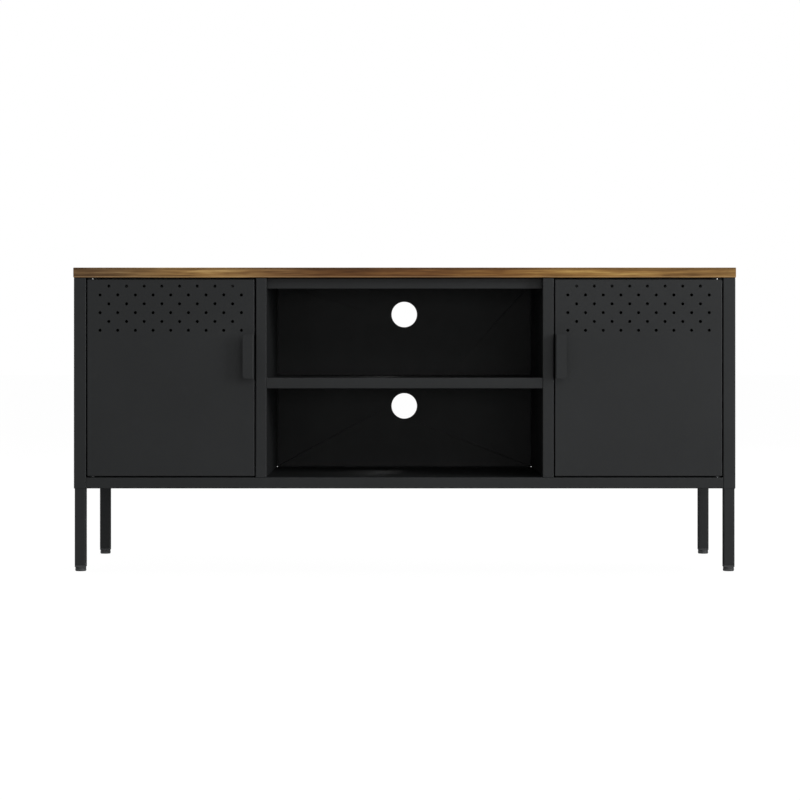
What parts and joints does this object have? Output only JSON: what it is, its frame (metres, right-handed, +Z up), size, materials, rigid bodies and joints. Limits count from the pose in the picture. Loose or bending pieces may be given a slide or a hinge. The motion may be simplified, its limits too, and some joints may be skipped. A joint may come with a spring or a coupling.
{
  "type": "tv stand with doors",
  "caption": "Low steel media cabinet with a wood top, an open middle bay with a shelf, perforated hinged side doors, and square legs on levelling feet.",
  "frame": {"origin": "on the floor, at the centre of the box that holds the whole object, door handles included", "axes": "+X to the right of someone who faces the doors, +Y to the back, +Z up"},
  "size_m": [1.2, 0.42, 0.55],
  "materials": {
    "painted_steel": "matte anthracite powder coat with a fine texture",
    "wood_laminate": "satin rustic brown wood-grain laminate",
    "zinc_plated_steel": "bright zinc plate",
    "nylon": "black moulded nylon",
    "foot_plastic": "dark grey moulded plastic with a slight sheen"
  },
  "bodies": {
    "root": {"wood_top": "wood_laminate", "top_panel": "painted_steel", "bottom_panel": "painted_steel", "back_panel_centre": "painted_steel", "centre_shelf": "painted_steel", "side_panel_left": "painted_steel", "divider_left": "painted_steel", "back_panel_left": "painted_steel", "cupboard_shelf_left": "painted_steel", "shelf_clip_front_inner_left": "nylon", "shelf_clip_front_outer_left": "nylon", "shelf_clip_back_inner_left": "nylon", "shelf_clip_back_outer_left": "nylon", "hinge_washer_left": "nylon", "magnetic_catch_left": "nylon", "leg_front_left": "painted_steel", "leg_bolt_front_left": "zinc_plated_steel", "foot_plug_front_left": "foot_plastic", "top_screw_front_left": "zinc_plated_steel", "leg_back_left": "painted_steel", "leg_bolt_back_left": "zinc_plated_steel", "foot_plug_back_left": "foot_plastic", "top_screw_back_left": "zinc_plated_steel", "side_panel_right": "painted_steel", "divider_right": "painted_steel", "back_panel_right": "painted_steel", "cupboard_shelf_right": "painted_steel", "shelf_clip_front_inner_right": "nylon", "shelf_clip_front_outer_right": "nylon", "shelf_clip_back_inner_right": "nylon", "shelf_clip_back_outer_right": "nylon", "hinge_washer_right": "nylon", "magnetic_catch_right": "nylon", "leg_front_right": "painted_steel", "leg_bolt_front_right": "zinc_plated_steel", "foot_plug_front_right": "foot_plastic", "top_screw_front_right": "zinc_plated_steel", "leg_back_right": "painted_steel", "leg_bolt_back_right": "zinc_plated_steel", "foot_plug_back_right": "foot_plastic", "top_screw_back_right": "zinc_plated_steel"},
    "door_left": {"door_left": "painted_steel", "door_handle_left": "painted_steel", "hinge_pin_top_left": "zinc_plated_steel", "hinge_pin_bottom_left": "zinc_plated_steel"},
    "door_right": {"door_right": "painted_steel", "door_handle_right": "painted_steel", "hinge_pin_top_right": "zinc_plated_steel", "hinge_pin_bottom_right": "zinc_plated_steel"},
    "foot_front_left": {"foot_pad_front_left": "foot_plastic"},
    "stud_front_left": {"foot_stud_front_left": "zinc_plated_steel"},
    "foot_front_right": {"foot_pad_front_right": "foot_plastic"},
    "stud_front_right": {"foot_stud_front_right": "zinc_plated_steel"},
    "foot_back_left": {"foot_pad_back_left": "foot_plastic"},
    "stud_back_left": {"foot_stud_back_left": "zinc_plated_steel"},
    "foot_back_right": {"foot_pad_back_right": "foot_plastic"},
    "stud_back_right": {"foot_stud_back_right": "zinc_plated_steel"}
  },
  "joints": [
    {"name": "door_hinge_left", "type": "hinge", "parent": "root", "child": "door_left", "pos_m": [-0.566, -0.184, 0.35], "axis": [0, 0, -1], "range_deg": [0, 120]},
    {"name": "door_hinge_right", "type": "hinge", "parent": "root", "child": "door_right", "pos_m": [0.566, -0.184, 0.35], "axis": [0, 0, 1], "range_deg": [0, 120]},
    {"name": "foot_lift_front_left", "type": "slide", "parent": "root", "child": "foot_front_left", "axis": [0, 0, -1], "range_m": [0, 0.008]},
    {"name": "stud_turn_front_left", "type": "hinge", "parent": "foot_front_left", "child": "stud_front_left", "pos_m": [-0.5877, -0.1777, 0.01], "axis": [0, 0, -1], "range_deg": [0, 2310]},
    {"name": "foot_lift_front_right", "type": "slide", "parent": "root", "child": "foot_front_right", "axis": [0, 0, -1], "range_m": [0, 0.008]},
    {"name": "stud_turn_front_right", "type": "hinge", "parent": "foot_front_right", "child": "stud_front_right", "pos_m": [0.5877, -0.1777, 0.01], "axis": [0, 0, -1], "range_deg": [0, 2310]},
    {"name": "foot_lift_back_left", "type": "slide", "parent": "root", "child": "foot_back_left", "axis": [0, 0, -1], "range_m": [0, 0.008]},
    {"name": "stud_turn_back_left", "type": "hinge", "parent": "foot_back_left", "child": "stud_back_left", "pos_m": [-0.5877, 0.1977, 0.01], "axis": [0, 0, -1], "range_deg": [0, 2310]},
    {"name": "foot_lift_back_right", "type": "slide", "parent": "root", "child": "foot_back_right", "axis": [0, 0, -1], "range_m": [0, 0.008]},
    {"name": "stud_turn_back_right", "type": "hinge", "parent": "foot_back_right", "child": "stud_back_right", "pos_m": [0.5877, 0.1977, 0.01], "axis": [0, 0, -1], "range_deg": [0, 2310]}
  ],
  "couplings": [
    {"joint": "stud_turn_front_left", "follows": "foot_lift_front_left", "rad_per_m": 5026.5},
    {"joint": "stud_turn_front_right", "follows": "foot_lift_front_right", "rad_per_m": 5026.5},
    {"joint": "stud_turn_back_left", "follows": "foot_lift_back_left", "rad_per_m": 5026.5},
    {"joint": "stud_turn_back_right", "follows": "foot_lift_back_right", "rad_per_m": 5026.5}
  ]
}
